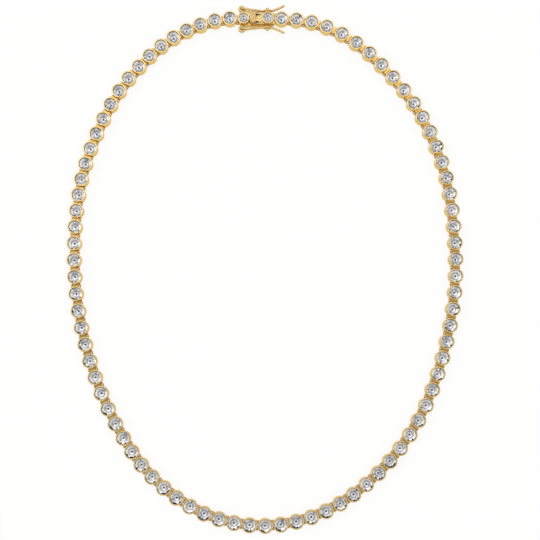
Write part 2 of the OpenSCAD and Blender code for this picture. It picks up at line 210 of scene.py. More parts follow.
polishedGold = goldMaterial("polished_gold", (0.86, 0.645, 0.28), (0.44, 0.23, 0.02), 0.16, 4000.0, 0.08)
satinGold = goldMaterial("satin_gold", (0.735, 0.545, 0.25), (0.5, 0.25, 0.02), 0.38, 9000.0, 0.3)


def stoneMaterial():
    # clear cut stone: the crown lets light through, and the pavilion's mirror facets carry a painted
    # reflection: rings round the culet, each facet with its own tone and some with a dark spot near the
    # girdle
    g = Graph("clear_stone")
    tone = g.add("ShaderNodeAttribute", {"attribute_name": "tone"}, out="Fac")
    deep = g.add("ShaderNodeAttribute", {"attribute_name": "deep"}, out="Fac")
    reach = g.add("ShaderNodeAttribute", {"attribute_name": "reach"}, out="Fac")
    spot = g.add("ShaderNodeAttribute", {"attribute_name": "spot"}, out="Fac")
    # painted reflection: dark at the culet, white close round it, grey about half way out, white towards
    # the girdle
    rings = g.add("ShaderNodeValToRGB", {"stops": [
        (0.0, (0.02, 0.02, 0.03)), (0.12, (0.1, 0.1, 0.1)), (0.25, (1.0, 1.0, 1.0)),
        (0.46, (0.36, 0.36, 0.37)), (0.6, (0.75, 0.75, 0.75)), (0.74, (1.0, 1.0, 1.0))]}, {"Fac": reach})
    belt = g.add("ShaderNodeValToRGB", {"stops": [
        (0.62, (0.0, 0.0, 0.0)), (0.68, (1.0, 1.0, 1.0)), (0.86, (1.0, 1.0, 1.0)),
        (0.93, (0.0, 0.0, 0.0))]}, {"Fac": reach})
    # seen from inside the stone a facet's normal leans to the vertical: normal 0.22 + up 0.78
    facet = g.add("ShaderNodeNewGeometry", out="Normal")
    inside = g.add("ShaderNodeNewGeometry", out="Backfacing")
    part = g.add("ShaderNodeVectorMath", {"operation": "SCALE"}, {0: facet, "Scale": 0.22})
    up = g.add("ShaderNodeVectorMath", {"operation": "SCALE"}, {0: (0, 0, 0.78), "Scale": inside})
    lean = g.add("ShaderNodeVectorMath", {"operation": "ADD"}, {0: part, 1: up})
    normal = g.add("ShaderNodeVectorMath", {"operation": "NORMALIZE"}, {0: lean})
    clear = g.add("ShaderNodeBsdfPrincipled", None, {
        "Base Color": rgb(0.99, 0.995, 1.0), "Roughness": 0.0, "IOR": 1.3,
        "Transmission Weight": 1.0})
    # painted reflection: the facet tone picks between near black and the rings, and a spot facet in the
    # belt is painted near black
    body = g.mix(spot * belt, g.mix(tone, rgb(0.15, 0.15, 0.17), rings), rgb(0.03, 0.03, 0.04))
    mirror = g.add("ShaderNodeBsdfPrincipled", None, {
        "Base Color": body, "Roughness": 0.24, "Metallic": 1.0, "Normal": normal})
    return g.finish(g.add("ShaderNodeMixShader", None, {0: deep, 1: clear, 2: mirror}))


stoneLook = stoneMaterial()
print("materials ready")


# Shapes as arrays

def unit(vectors):
    return vectors / np.linalg.norm(vectors, axis=-1, keepdims=True)


def gridFaces(rows, columns, closeRows=False, closeColumns=False):
    # quads between neighbours of a grid whose points are numbered row by row
    i = np.arange(rows if closeRows else rows - 1)[:, None]
    j = np.arange(columns if closeColumns else columns - 1)[None, :]
    nextRow = (i + 1) % rows
    nextColumn = (j + 1) % columns
    corners = (i * columns + j, i * columns + nextColumn,
               nextRow * columns + nextColumn, nextRow * columns + j)
    return np.stack(np.broadcast_arrays(*corners), -1).reshape(-1, 4)


def lathe(profile, sides):
    # a closed profile of rows (radius, height) turned about the Z axis:
    # x = radius cos a, y = radius sin a, z = height
    angle = np.arange(sides) * 2 * np.pi / sides
    radius, height = profile[:, 0, None], profile[:, 1, None]
    points = np.stack(np.broadcast_arrays(radius * np.cos(angle), radius * np.sin(angle), height), -1)
    return points.reshape(-1, 3), gridFaces(len(profile), sides, True, True)


def tube(path, side, radius, sides, closed=True):
    # round wire along a path: each path point plus radius (side cos a + up sin a),
    # where up is the path's direction crossed with side
    ahead = np.roll(path, -1, 0) - np.roll(path, 1, 0)
    if not closed:
        ahead[0] = path[1] - path[0]
        ahead[-1] = path[-1] - path[-2]
    ahead = unit(ahead)
    across = unit(side - ahead * (side * ahead).sum(1, keepdims=True))
    up = np.cross(ahead, across)
    angle = (np.arange(sides) + 0.5) * 2 * np.pi / sides
    points = path[:, None] + radius * (across[:, None] * np.cos(angle)[None, :, None]
                                       + up[:, None] * np.sin(angle)[None, :, None])
    return points.reshape(-1, 3), gridFaces(len(path), sides, closed, True)


def roundedOutline(halfWide, halfHigh, corner, steps):
    # a rounded rectangle and its outward normals: corner centres plus corner (cos a, sin a)
    angle = np.linspace(0, np.pi / 2, steps)[None, :] + np.arange(4)[:, None] * np.pi / 2
    normals = np.stack([np.cos(angle), np.sin(angle)], -1)
    signs = np.array([[1, 1], [-1, 1], [-1, -1], [1, -1]])[:, None, :]
    middle = signs * np.array([halfWide - corner, halfHigh - corner])
    return (middle + corner * normals).reshape(-1, 2), normals.reshape(-1, 2)


def moulding(outline, normals, profile):
    # an outline moved in by each row's inset and out along Z to each row's height;
    # the first and the last ring are closed by flat faces
    inset, height = profile[:, 0, None, None], profile[:, 1, None, None]
    flat = outline[None] - normals[None] * inset
    points = np.concatenate([flat, np.broadcast_to(height, flat.shape[:2] + (1,))], -1)
    count = len(outline)
    rows = len(profile)
    faces = gridFaces(rows, count, False, True)
    caps = [np.arange(count)[::-1], (rows - 1) * count + np.arange(count)]
    return points.reshape(-1, 3), faces, caps


def place(points, turn, spot, lift=0.0):
    # copies of a shape, each turned about Z and moved: one copy for each turn and spot
    turn = np.atleast_1d(turn)[:, None]
    spot = np.atleast_2d(spot)
    x = points[None, :, 0] * np.cos(turn) - points[None, :, 1] * np.sin(turn) + spot[:, None, 0]
    y = points[None, :, 0] * np.sin(turn) + points[None, :, 1] * np.cos(turn) + spot[:, None, 1]
    z = np.broadcast_to(points[None, :, 2] + lift, x.shape)
    return np.stack([x, y, z], -1).reshape(-1, 3)


def repeatFaces(faces, count, size):
    return (faces[None] + np.arange(count)[:, None, None] * size).reshape(-1, faces.shape[1])


def makePiece(name, shapes, material, body, replaced=(), smooth=True, sharp=40, values=None):
    # joins shapes, each a set of points in mm with lists of faces, into one mesh piece
    points = []
    faces = []
    start = 0
    for corners, *sets in shapes:
        for group in sets:
            faces.extend([np.asarray(face) + start for face in group])
        points.append(corners)
        start += len(corners)
    points = np.concatenate(points)
    mesh = bpy.data.meshes.new(name)
    mesh.from_pydata((points * mm).tolist(), [], [face.tolist() for face in faces])
    mesh.materials.append(material)
    for key, column in (values or {}).items():
        domain, data = column
        mesh.attributes.new(key, "FLOAT", domain).data.foreach_set("value", np.asarray(data, np.float32))
    mesh.update()
    mesh.validate()
    if smooth:
        mesh.shade_smooth()
        mesh.set_sharp_from_angle(angle=math.radians(sharp))
    piece = bpy.data.objects.new(name, mesh)
    bpy.context.scene.collection.objects.link(piece)
    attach(piece, body)
    if replaced:
        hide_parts(*replaced)
    return piece


# Where the stones are

def culets(node):
    # the lowest corners of a node's stones, in mm
    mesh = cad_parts[node].data
    flat = np.empty(len(mesh.vertices) * 3)
    mesh.vertices.foreach_get("co", flat)
    corners = flat.reshape(-1, 3) / mm
    low = corners[corners[:, 2] < corners[:, 2].min() + 0.02]
    return np.unique(np.round(low[:, :2], 3), axis=0)


chain = culets("stones")
clockwise = np.mod(np.pi / 2 - np.arctan2(chain[:, 1], chain[:, 0]), 2 * np.pi)
chain = chain[np.argsort(clockwise)]
tongueAt = culets("clasp_tongue_stone")[0]
boxStoneAt = culets("clasp_box_stone")[0]
along = unit(boxStoneAt - tongueAt)
claspTurn = math.atan2(along[1], along[0])

claspSet = {
    "throat": 2.05, "mouth": 4.0, "boxEnd": 9.5, "boxStone": 7.6,
    "boxWide": 3.6, "boxHigh": 2.3, "boxWall": 0.35,
    "bezel": 1.9, "boxTop": 3.4, "tongueTop": 3.0,
}
previous = np.vstack([tongueAt + along * claspSet["boxEnd"], chain[:-1]])
following = np.vstack([chain[1:], tongueAt])
backTurn = np.arctan2(*(previous - chain).T[::-1])
aheadTurn = np.arctan2(*(following - chain).T[::-1])
print("chain read:", len(chain), "settings")


# Settings of the chain

# the stones' tone, spread and least tone, dark-spot share and grey side set their painted reflection and
# painted shade
stoneSet = {"size": 4.0, "claspSize": 3.3, "top": 2.6, "turnStep": 137.0, "tone": 0.87,
            "toneSpread": 0.27, "toneLeast": 0.1, "paintedDarkSpotShare": 0.5, "paintedShadeSide": 0.2}
colletSet = {"sides": 48, "wall": 0.2, "gap": 0.05, "cover": 0.15, "sink": 0.1, "foot": 0.1,
             "lipOut": 0.15, "lipIn": 0.1, "ledge": 0.2, "ledgeHigh": 0.25, "footWall": 0.25,
             "crown": 0.15, "pavilion": 0.43, "table": 0.56,
             "slotLow": 0.3, "slotHigh": 0.85, "slotFrom": 2, "slotTo": 6}


def girdleHeight(stone, top):
    return top - colletSet["sink"] - stone * colletSet["crown"]


def colletProfile(stone, low, top):
    # closed profile (radius, height, painted shade) up the outside, over the lip and down the inside
    # the painted shade is darkest on the inside walls and the lip's inner side, and darker near the foot
    s = colletSet
    inner = stone / 2 + s["gap"]
    outer = inner + s["wall"]
    opening = stone / 2 - s["cover"]
    waist = girdleHeight(stone, top)
    lipLow = waist + s["cover"] * s["crown"] * 2 / (1 - s["table"]) + s["gap"]
    ledgeTop = waist - s["gap"] - s["ledge"] * s["pavilion"] * 2
    ledgeLow = ledgeTop - s["ledgeHigh"]
    bore = outer - s["footWall"]
    arc = np.linspace(0, np.pi / 2, 4)
    outArc = np.stack([outer - s["lipOut"] + s["lipOut"] * np.cos(arc),
                       top - s["lipOut"] + s["lipOut"] * np.sin(arc), 0.2 - 0.1 * arc], 1)
    inArc = np.stack([opening + s["lipIn"] - s["lipIn"] * np.sin(arc),
                      top - s["lipIn"] + s["lipIn"] * np.cos(arc), 0.05 + arc * 0.5], 1)
    wallLow = [(outer - s["foot"], low, 0.5), (outer, low + s["foot"], 0.35)]
    slotOut = [(outer, low + s["slotLow"], 0.25), (outer, low + s["slotHigh"], 0.1)]
    inside = [(opening, lipLow, 1.0), (inner, waist + s["gap"], 1), (inner, waist - s["gap"], 1),
              (inner - s["ledge"], ledgeTop, 1), (inner - s["ledge"], ledgeLow, 1),
              (bore, ledgeLow - s["ledge"], 0.8)]
    slotIn = [(bore, low + s["slotHigh"], 0.7), (bore, low + s["slotLow"], 0.6), (bore, low, 0.5)]
    return np.vstack([wallLow, slotOut, outArc, inArc, inside, slotIn])


def slotted(profile, faces, sides, lows=2, highs=3):
    # takes the slots' cells out of the outer and inner walls and lines each slot with four sides
    rows = len(profile)
    outLow, outHigh, inHigh, inLow = lows, highs, rows - 3, rows - 2
    row, column = np.divmod(np.arange(len(faces)), sides)
    first = np.arange(colletSet["slotFrom"], colletSet["slotTo"])
    cells = np.concatenate([first, sides - 1 - first])
    keep = ~(np.isin(row, (outLow, inHigh)) & np.isin(column, cells))
    here, there = cells, (cells + 1) % sides
    at = lambda level, angle: level * sides + angle
    ceiling = np.stack([at(outHigh, here), at(inHigh, here), at(inHigh, there), at(outHigh, there)], 1)
    ground = np.stack([at(outLow, here), at(outLow, there), at(inLow, there), at(inLow, here)], 1)
    starts = np.array([colletSet["slotFrom"], sides - colletSet["slotTo"]])
    ends = np.array([colletSet["slotTo"], sides - colletSet["slotFrom"]])
    left = np.stack([at(outLow, starts), at(inLow, starts), at(inHigh, starts), at(outHigh, starts)], 1)
    right = np.stack([at(outLow, ends), at(outHigh, ends), at(inHigh, ends), at(inLow, ends)], 1)
    return np.vstack([faces[keep], ceiling, ground, left, right])


def ring(radius, wire, sides, around, start=0.0, end=2 * np.pi):
    # wire of the given radius round a circle in a level plane
    closed = end - start > 6.28
    angle = np.linspace(start, end, sides, endpoint=not closed)
    path = radius * np.stack([np.cos(angle), np.sin(angle), 0 * angle], 1)
    side = np.stack([np.cos(angle), np.sin(angle), 0 * angle], 1)
    return tube(path, side, wire / 2, around, closed)


profile = colletProfile(stoneSet["size"], 0.0, stoneSet["top"])
sides = colletSet["sides"]
colletPoints, colletFaces = lathe(profile, sides)
colletFaces = slotted(profile, colletFaces, sides)
count = len(chain)
# each setting carries its profile's painted shade on its points
makePiece("settings", [(place(colletPoints, backTurn, chain),
                        repeatFaces(colletFaces, count, len(colletPoints)))],
          polishedGold, "necklace", ("bezel_links",),
          values={"shade": ("POINT", np.tile(np.repeat(profile[:, 2], sides), count))})

# painted shade: the loops are painted browner, as if in the shade between the settings
loopSet = {"radius": 1.334, "wire": 0.46, "out": 2.4, "height": 0.575, "steps": 40, "around": 10,
           "shade": 0.4}
loopPoints, loopFaces = ring(loopSet["radius"], loopSet["wire"], loopSet["steps"], loopSet["around"])
ahead = np.stack([np.cos(aheadTurn), np.sin(aheadTurn)], 1)
loopAt = chain + ahead * loopSet["out"]
makePiece("linking_loops", [(place(loopPoints, aheadTurn, loopAt, loopSet["height"]),
                             repeatFaces(loopFaces, count, len(loopPoints)))],
          polishedGold, "necklace", ("bezel_links",),
          values={"shade": ("POINT", np.full(len(loopPoints) * count, loopSet["shade"]))})

lugSet = {"wide": 2.1, "low": 0.95, "high": 2.0, "start": 2.12, "clear": 0.1, "bevel": 0.05,
          "nearShade": 0.2, "farShade": 0.95, "across": 9}


def lugPieces(reach, nextRadius):
    # blocks that start in a setting's wall, at x = sqrt(start^2 - y^2), and end in a hollow round
    # the next one, at x = reach - sqrt(radius^2 - y^2): three level rings, the top one drawn in
    y = np.linspace(-1, 1, lugSet["across"])[None, None, :]
    inset = np.array([0, 0, lugSet["bevel"]])[None, :, None]
    half = lugSet["wide"] / 2 - inset
    radius = (nextRadius + lugSet["clear"])[:, None, None] + inset
    near = np.sqrt(lugSet["start"] ** 2 - (half * y) ** 2)
    far = np.maximum(reach[:, None, None] - np.sqrt(radius ** 2 - (half * y) ** 2), near + 0.01)
    level = np.array([lugSet["low"], lugSet["high"] - lugSet["bevel"], lugSet["high"]])[None, :, None]
    farSide = np.stack(np.broadcast_arrays(far, half * y, level), -1)
    nearSide = np.stack(np.broadcast_arrays(near + 0 * far, -half * y, level), -1)
    return np.concatenate([farSide, nearSide], 2)


reach = np.linalg.norm(following - chain, axis=1)
nextRadius = np.full(len(chain), profile[:, 0].max())
nextRadius[-1] = claspSet["bezel"]
lugs = lugPieces(reach, nextRadius).reshape(count, -1, 3)
aside = np.stack([-ahead[:, 1], ahead[:, 0]], 1)
flat = chain[:, None] + lugs[..., 0:1] * ahead[:, None] + lugs[..., 1:2] * aside[:, None]
lugPoints = np.concatenate([flat, lugs[..., 2:3]], -1).reshape(-1, 3)
lugRing = 2 * lugSet["across"]
lugFaces = repeatFaces(gridFaces(3, lugRing, False, True), count, 3 * lugRing)
lugEnds = repeatFaces(np.stack([np.arange(lugRing)[::-1], 2 * lugRing + np.arange(lugRing)]), count,
                      3 * lugRing)
# painted shade: a lug is bright where it leaves its setting and painted brown at its hollow end
lugShade = np.tile(np.repeat([lugSet["farShade"], lugSet["nearShade"]], lugSet["across"]), 3 * count)
makePiece("linking_lugs", [(lugPoints, lugFaces, lugEnds)], polishedGold, "necklace",
          ("bezel_links",), values={"shade": ("POINT", lugShade)})
print("settings, loops and lugs made")


# Stones

def brilliant(size):
    # round brilliant with 57 facets and a thin girdle; kites lie flat because the star points
    # are put in the plane through the table's corner and the girdle
    r = size / 2
    s = colletSet
    tableR = r * s["table"]
    crown = size * s["crown"]
    depth = size * s["pavilion"]
    belt = size * 0.012
    eighth = np.arange(8) * np.pi / 4
    half = eighth + np.pi / 8
    sixteenth = np.arange(16) * np.pi / 8
    flat = lambda radius, angle, z: np.stack([radius * np.cos(angle), radius * np.sin(angle),
                                              np.full(len(angle), z)], 1)
    starR = (tableR + r) / 2 * 1.03
    starZ = crown * (r - starR * math.cos(np.pi / 8)) / (r - tableR)
    lowerR = r * 0.24
    lowerZ = -depth * (1 - lowerR * math.cos(np.pi / 8) / r)
    points = np.vstack([flat(tableR, eighth, crown), flat(starR, half, starZ),
                        flat(r, sixteenth, belt / 2), flat(r, sixteenth, -belt / 2),
                        flat(lowerR, half, lowerZ), [[0, 0, -depth]]])
    i = np.arange(8)
    star, upper, under, low, culet = 8, 16, 32, 48, 56
    nextI = (i + 1) % 8
    table = [i]
    stars = np.stack([i, star + i, nextI], 1)
    kites = np.stack([i, star + (i + 7) % 8, upper + 2 * i, star + i], 1)
    halves = np.vstack([np.stack([star + i, upper + 2 * i, upper + 2 * i + 1], 1),
                        np.stack([star + i, upper + 2 * i + 1, upper + (2 * i + 2) % 16], 1)])
    k = np.arange(16)
    girdle = np.stack([under + k, under + (k + 1) % 16, upper + (k + 1) % 16, upper + k], 1)
    lowers = np.vstack([np.stack([under + 2 * i, low + i, under + 2 * i + 1], 1),
                        np.stack([under + 2 * i + 1, low + i, under + (2 * i + 2) % 16], 1)])
    mains = np.stack([under + 2 * i, low + (i + 7) % 8, np.full(8, culet), low + i], 1)
    return points, [table, stars, kites, halves, girdle, lowers, mains]


def stonePiece(name, node, size, top, spots, seed):
    points, groups = brilliant(size)
    number = len(spots)
    draw = np.random.default_rng(seed)
    turns = np.radians(np.arange(number) * stoneSet["turnStep"]) + draw.uniform(0, 0.3, number)
    placed = place(points, turns, spots, girdleHeight(size, top))
    sets = [repeatFaces(np.asarray(group), number, len(points)) for group in groups]
    crown = sum(len(group) for group in sets[:5])
    pavilion = sum(len(group) for group in sets[5:])
    tone = np.clip(draw.normal(stoneSet["tone"], stoneSet["toneSpread"], crown + pavilion),
                   stoneSet["toneLeast"], 1)
    reach = np.hypot(points[:, 0], points[:, 1]) / (size / 2)
    # painted shade and painted reflection: a lower facet is painted greyer the more it lies towards +Y,
    # as if shaded on that side, and likelier to have a painted dark spot towards -Y
    lowers = sets[5]
    towards = unit(placed[lowers].mean(1)[:, :2] - spots[lowers[:, 0] // len(points)])
    tone[crown:crown + len(lowers)] -= stoneSet["paintedShadeSide"] * np.clip(towards[:, 1], 0, 1)
    spot = np.zeros(crown + pavilion)
    spot[crown:crown + len(lowers)] = draw.random(len(lowers)) < stoneSet["paintedDarkSpotShare"] * -towards[:, 1]
    return makePiece(name, [(placed, *sets)], stoneLook, "necklace", (node,), smooth=False,
                     values={"tone": ("FACE", tone), "spot": ("FACE", spot),
                             "reach": ("POINT", np.tile(reach, number)),
                             "deep": ("FACE", np.repeat([0.0, 1.0], [crown, pavilion]))})


stonePiece("chain_stones", "stones", stoneSet["size"], stoneSet["top"], chain, 5)
stonePiece("stone_on_box", "clasp_box_stone", stoneSet["claspSize"], claspSet["boxTop"],
           boxStoneAt[None], 8)
stonePiece("stone_on_tongue", "clasp_tongue_stone", stoneSet["claspSize"], claspSet["tongueTop"],
           tongueAt[None], 9)
print("stones made")


# Clasp

def spun(profile, sides):
    # an open profile of rows (radius, height) turned about the Z axis, with flat ends
    points, _ = lathe(profile, sides)
    rows = len(profile)
    return points, gridFaces(rows, sides, False, True), [
        np.arange(sides)[::-1], (rows - 1) * sides + np.arange(sides)]


def mitred(outline):
    # outward normals of a closed anticlockwise outline, long enough at a corner to keep an even inset
    edge = unit(np.roll(outline, -1, 0) - outline)
    normal = np.stack([edge[:, 1], -edge[:, 0]], 1)
    both = normal + np.roll(normal, 1, 0)
    return both / (1 + (normal * np.roll(normal, 1, 0)).sum(1, keepdims=True))


def softened(corners, steps=4):
    # a closed outline of rows (x, y, reach): each corner becomes a curve
    # (1 - t)^2 start + 2 t (1 - t) corner + t^2 end, which begins and ends at its reach
    spot, reach = corners[:, :2], corners[:, 2:3]
    start = spot + unit(np.roll(spot, 1, 0) - spot) * reach
    end = spot + unit(np.roll(spot, -1, 0) - spot) * reach
    t = np.linspace(0, 1, steps)[None, :, None]
    curve = (1 - t) ** 2 * start[:, None] + 2 * t * (1 - t) * spot[:, None] + t ** 2 * end[:, None]
    return curve.reshape(-1, 2)


def alongU(points, lift):
    # turns a shape's height into the clasp's length; its x becomes the width and its y the height
    return np.stack([points[:, 2], points[:, 0], points[:, 1] + lift], 1)


def alongV(points, middle, height, side=1):
    # turns a shape's height into the clasp's width
    return np.stack([middle + side * points[:, 1], side * points[:, 2], height + points[:, 0]], 1)


def crossV(points):
    # lays an outline of (length, height) across the clasp's width
    return np.stack([points[:, 0], -points[:, 2], points[:, 1]], 1)


def onClasp(shape):
    points, *sets = shape
    return (place(points, claspTurn, tongueAt), *sets)


def edged(low, high, round=0.06):
    # profile of a moulding from low to high with rounded ends
    arc = np.linspace(0, np.pi / 2, 4)
    bottom = np.stack([round * (1 - np.sin(arc)), low + round * (1 - np.cos(arc))], 1)
    return np.vstack([bottom, bottom[::-1] * [1, -1] + [0, low + high]])


def drilled(piece, shape):
    # takes a closed shape out of a piece
    points, *sets = shape
    mesh = bpy.data.meshes.new("drill")
    faces = [list(face) for group in sets for face in group]
    mesh.from_pydata((points * mm).tolist(), [], faces)
    drill = bpy.data.objects.new("drill", mesh)
    bpy.context.scene.collection.objects.link(drill)
    cut = piece.modifiers.new("well", "BOOLEAN")
    cut.operation = "DIFFERENCE"
    cut.solver = "EXACT"
    cut.object = drill
    bpy.context.view_layer.update()
    done = bpy.data.meshes.new_from_object(piece.evaluated_get(bpy.context.evaluated_depsgraph_get()))
    piece.modifiers.clear()
    piece.data = done
    bpy.data.objects.remove(drill)
    done.shade_smooth()
    done.set_sharp_from_angle(angle=math.radians(30))


boxSet = {"corner": 0.15, "edge": 0.1, "well": 1.3, "studAt": 7.45, "studOut": 1.4,
          "ball": 0.6, "neck": 0.3, "height": 1.355, "loopOut": 0.15,
          "flangeOut": 0.7, "flangeWide": 3.3, "flangeLow": 0.95, "flangeHollow": 2.36,
          "sideShade": 0.9, "loopSteps": 30, "colletSides": 64, "studSides": 24}
wide, high, wall = claspSet["boxWide"], claspSet["boxHigh"], claspSet["boxWall"]
outline, normals = roundedOutline(wide / 2, high / 2, boxSet["corner"], 5)
arc = np.linspace(0, np.pi / 2, 4)
mouth, boxEnd, edge = claspSet["mouth"], claspSet["boxEnd"], boxSet["edge"]
throat = claspSet["throat"]
inward = np.array([(wall, boxEnd - wall), (wall, throat + 0.06), (wall - 0.06, throat), (0.06, throat),
                   (0, throat + 0.06)])
outward = np.stack([edge * (1 - np.cos(arc)), boxEnd - edge + edge * np.sin(arc)], 1)
shell, shellSides, shellEnds = moulding(outline, normals, np.vstack([inward, outward]))
boxShell = makePiece("clasp_box_shell", [onClasp((alongU(shell, high / 2), shellSides, shellEnds))],
                     satinGold, "necklace", ("clasp_box",))
well = spun(np.array([(boxSet["well"], high - wall - 0.3), (boxSet["well"], high + 0.3)]), 48)
drilled(boxShell, onClasp((well[0] + [claspSet["boxStone"], 0, 0], *well[1:])))
lidCut = moulding(*roundedOutline((mouth - throat) / 2 + 0.5, wide / 2 - wall - 0.05, 0.12, 4),
                  np.array([(0, high / 2), (0, high + 0.5)]))
drilled(boxShell, onClasp((lidCut[0] + [(mouth + throat) / 2 - 0.5, 0, 0], *lidCut[1:])))

sideways = np.array([-along[1], along[0], 0])
# painted shade: side faces of the box get a high shade value, painted browner than its top
facing = np.empty(len(boxShell.data.polygons) * 3)
boxShell.data.polygons.foreach_get("normal", facing)
sideShade = boxSet["sideShade"] * (np.abs(facing.reshape(-1, 3) @ sideways) > 0.6)
shadeColumn = boxShell.data.attributes.new("shade", "FLOAT", "FACE")
shadeColumn.data.foreach_set("value", sideShade.astype(np.float32))

# the flange's end follows a circle round the first setting of the chain: u = middle - sqrt(r^2 - v^2)
firstAt = (chain[0] - tongueAt) @ np.stack([along, sideways[:2]], 1)
v = np.linspace(-boxSet["flangeWide"] / 2, boxSet["flangeWide"] / 2, 19)
hollow = firstAt[0] - np.sqrt(boxSet["flangeHollow"] ** 2 - (v - firstAt[1]) ** 2)
far = np.minimum(hollow, boxEnd + boxSet["flangeOut"])
flange = np.vstack([np.stack([far, v], 1), [(boxEnd - 0.1, v[-1]), (boxEnd - 0.1, v[0])]])
flangeShape = moulding(flange, mitred(flange), edged(boxSet["flangeLow"], high, 0.03))
makePiece("box_end_flange", [onClasp(flangeShape)], satinGold, "necklace", ("clasp_box",), sharp=30)

boxCollet = colletProfile(stoneSet["claspSize"], high - wall / 2, claspSet["boxTop"])
points, faces = lathe(boxCollet, boxSet["colletSides"])
loopHalf = math.acos(-(boxSet["loopOut"] + wall / 2) / loopSet["radius"])
around, steps = loopSet["around"], boxSet["loopSteps"]
arcPoints, arcFaces = ring(loopSet["radius"], loopSet["wire"], steps, around, -loopHalf, loopHalf)
ball = np.linspace(math.asin(boxSet["neck"] / boxSet["ball"]), np.pi - 0.03, 12)
out = wide / 2 + boxSet["studOut"]
stud = np.vstack([[(boxSet["neck"] + 0.12, wide / 2 - 0.05), (boxSet["neck"] + 0.1, wide / 2 + 0.03),
                   (boxSet["neck"], wide / 2 + 0.12)],
                  np.stack([boxSet["ball"] * np.sin(ball), out - boxSet["ball"] * np.cos(ball)], 1)])
studPoints, studSides, studEnds = spun(stud, boxSet["studSides"])
# painted shade: the setting keeps its profile's painted shade, the loop the loops' painted shade, the
# studs none
makePiece("clasp_box_fittings",
          [onClasp((points + [claspSet["boxStone"], 0, 0], faces)),
           onClasp((arcPoints + [boxEnd + boxSet["loopOut"], 0, loopSet["height"]], arcFaces,
                    [np.arange(around)[::-1], (steps - 1) * around + np.arange(around)])),
           onClasp((alongV(studPoints, boxSet["studAt"], boxSet["height"]), studSides, studEnds)),
           onClasp((alongV(studPoints, boxSet["studAt"], boxSet["height"], -1), studSides, studEnds))],
          polishedGold, "necklace", ("clasp_box",),
          values={"shade": ("POINT", np.concatenate([np.repeat(boxCollet[:, 2], boxSet["colletSides"]),
                                                     np.full(len(arcPoints), loopSet["shade"]),
                                                     np.zeros(2 * len(studPoints))]))})

tongueSet = {"low": 0.5, "high": 1.8, "thick": 0.3, "start": 1.775, "fold": 8.8, "rise": 4.6,
             "back": 2.95, "wide": 2.4, "tabTop": 4.2, "tabThick": 0.5, "tabNear": 2.05,
             "tabFar": 3.85, "tabWide": 3.2, "rimLow": 2.64, "rimThick": 0.28, "ridge": 0.2,
             "ridgeTurn": 60,
             "knuckleBack": 0.5, "knuckleOut": 3.2, "knuckleOuter": 1.1, "knuckleBore": 0.405,
             "knuckleMiddle": 1.355, "knuckleHalf": 0.5, "shoulderEnd": 1.9, "shoulderWide": 2.2,
             "shoulderShade": 0.55, "ridgeRows": 41, "ridgeColumns": 69, "knuckleSides": 48}
t = tongueSet
slope = (t["high"] - t["low"] - 2 * t["thick"]) / (t["fold"] - t["thick"] - t["rise"])
tip = t["high"] - slope * (t["fold"] - t["rise"])
post = t["tabTop"] - t["tabThick"] / 2
side = softened(np.array([
    (t["start"], t["low"], 0.02), (t["fold"], t["low"], 0.15), (t["fold"], tip, 0.15),
    (t["rise"], t["high"], 0.05), (t["back"], t["high"], 0.02), (t["back"], post, 0.02),
    (t["back"] - t["thick"], post, 0.02), (t["back"] - t["thick"], t["high"] - t["thick"], 0.2),
    (t["rise"], t["high"] - t["thick"], 0.05), (t["fold"] - t["thick"], t["low"] + t["thick"], 0.03),
    (t["start"], t["low"] + t["thick"], 0.02)]))
leaf = moulding(side, mitred(side), edged(-t["wide"] / 2, t["wide"] / 2, 0.05))

tongueCollet = colletProfile(stoneSet["claspSize"], 0.0, claspSet["tongueTop"])
points, faces = lathe(tongueCollet, sides)
faces = slotted(tongueCollet, faces, sides)
points = points * [-1, -1, 1]

tabMiddle = (t["tabNear"] + t["tabFar"]) / 2
tabLong = t["tabFar"] - t["tabNear"]
base = t["tabTop"] - t["ridge"]
tabOutline, tabNormals = roundedOutline(tabLong / 2, t["tabWide"] / 2, 0.25, 6)
under = t["tabTop"] - t["tabThick"]
rim = t["rimThick"]
# up the outside of the rim, over the edge, and back down inside it to the underside
tabProfile = np.array([(rim, under), (rim, t["rimLow"] + 0.05), (rim - 0.05, t["rimLow"]),
                       (0.05, t["rimLow"]), (0, t["rimLow"] + 0.05), (0, base - 0.12),
                       (0.035, base - 0.035), (0.12, base)])
tab = moulding(tabOutline, tabNormals, tabProfile)


def ridgePatch():
    # a grid over the tab whose height is the base plus two crossed ridges, each a rounded
    # step of the distance to its line, and whose border dips into the tab
    rows, columns = t["ridgeRows"], t["ridgeColumns"]
    halfLong, halfWide = tabLong / 2 - 0.1, t["tabWide"] / 2 - 0.1
    u, v = np.meshgrid(np.linspace(-halfLong, halfLong, rows),
                       np.linspace(-halfWide, halfWide, columns), indexing="ij")
    tilt = math.radians(t["ridgeTurn"])
    lift = np.zeros_like(u)
    for way in (-1, 1):
        off = np.abs(u * math.sin(tilt) - way * v * math.cos(tilt))
        reach = np.abs(u * math.cos(tilt) + way * v * math.sin(tilt))
        bump = np.clip((0.26 - off) / 0.14, 0, 1) * np.clip((1.5 - reach) / 0.15, 0, 1)
        lift = np.maximum(lift, bump * bump * (3 - 2 * bump))
    z = base - 0.012 + lift * (t["ridge"] + 0.005)
    z[[0, -1], :] = base - 0.1
    z[:, [0, -1]] = base - 0.1
    points = np.stack([u + tabMiddle, v, z], -1).reshape(-1, 3)
    lastRow, lastColumn = rows - 1, columns - 1
    border = np.concatenate([np.arange(columns), np.arange(1, rows) * columns + lastColumn,
                             lastRow * columns + np.arange(lastColumn - 1, -1, -1),
                             np.arange(lastRow - 1, 0, -1) * columns])
    return points, gridFaces(rows, columns)[:, ::-1], [border]


